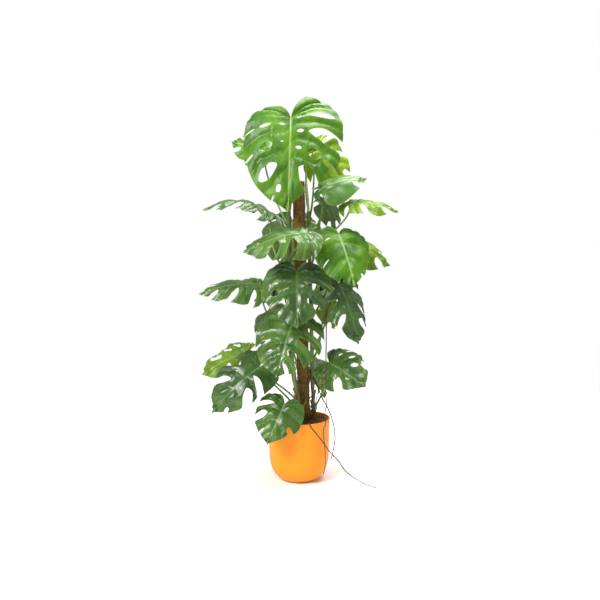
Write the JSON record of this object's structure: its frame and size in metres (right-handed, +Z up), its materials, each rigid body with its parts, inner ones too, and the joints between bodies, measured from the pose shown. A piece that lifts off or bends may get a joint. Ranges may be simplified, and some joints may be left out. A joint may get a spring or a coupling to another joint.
{
  "type": "monstera deliciosa plant on a coir pole in a pot",
  "caption": "Tall potted climbing houseplant: large split and pierced heart-shaped leaves on long stalks round a coir pole, aerial roots, and a round-bottomed orange pot filled with soil.",
  "frame": {"origin": "middle of the pot's flat underside", "axes": "+Z up, +X to the right seen from the front, -Y towards the front"},
  "size_m": [0.8337, 0.5769, 1.6335],
  "materials": {
    "pot": "matte orange plastic with a soft sheen",
    "soil": "crumbly dark brown potting soil",
    "coir": "rough red-brown coir fibre",
    "stem": "smooth green stem",
    "leaf": "glossy green leaf with paler veins",
    "young_leaf": "yellow-green rolled leaf",
    "root": "dry brown root",
    "wire": "dark plastic-coated wire"
  },
  "bodies": {
    "root": {"aerial_root_1": "root", "aerial_root_2": "root", "aerial_root_3": "root", "coir_pole": "coir", "leaf_01_top": "leaf", "leaf_02_upper_left": "leaf", "leaf_03_young": "leaf", "leaf_04_upper_right": "leaf", "leaf_05_far_right": "leaf", "leaf_06_shaded": "leaf", "leaf_07_level_left": "leaf", "leaf_08_middle_left": "leaf", "leaf_09_right_face": "leaf", "leaf_10_right_behind": "leaf", "leaf_11_level_left": "leaf", "leaf_12_curled": "leaf", "leaf_13_centre": "leaf", "leaf_14_right_hanging": "leaf", "leaf_15_small": "leaf", "leaf_16_lower_centre": "leaf", "leaf_17_far_left": "leaf", "leaf_18_lower_left": "leaf", "leaf_19_lower_right": "leaf", "leaf_20_small_low": "leaf", "leaf_21_over_rim": "leaf", "leaf_22_back_upper": "leaf", "leaf_23_back_lower": "leaf", "leaf_24_back_right": "leaf", "leaf_25_back_low": "leaf", "new_leaf_spear": "young_leaf", "pot": "pot", "soil": "soil", "stem_back": "stem", "stem_left": "stem", "stem_right": "stem", "tie_wire_1": "wire", "tie_wire_2": "wire", "tie_wire_3": "wire"}
  },
  "joints": []
}
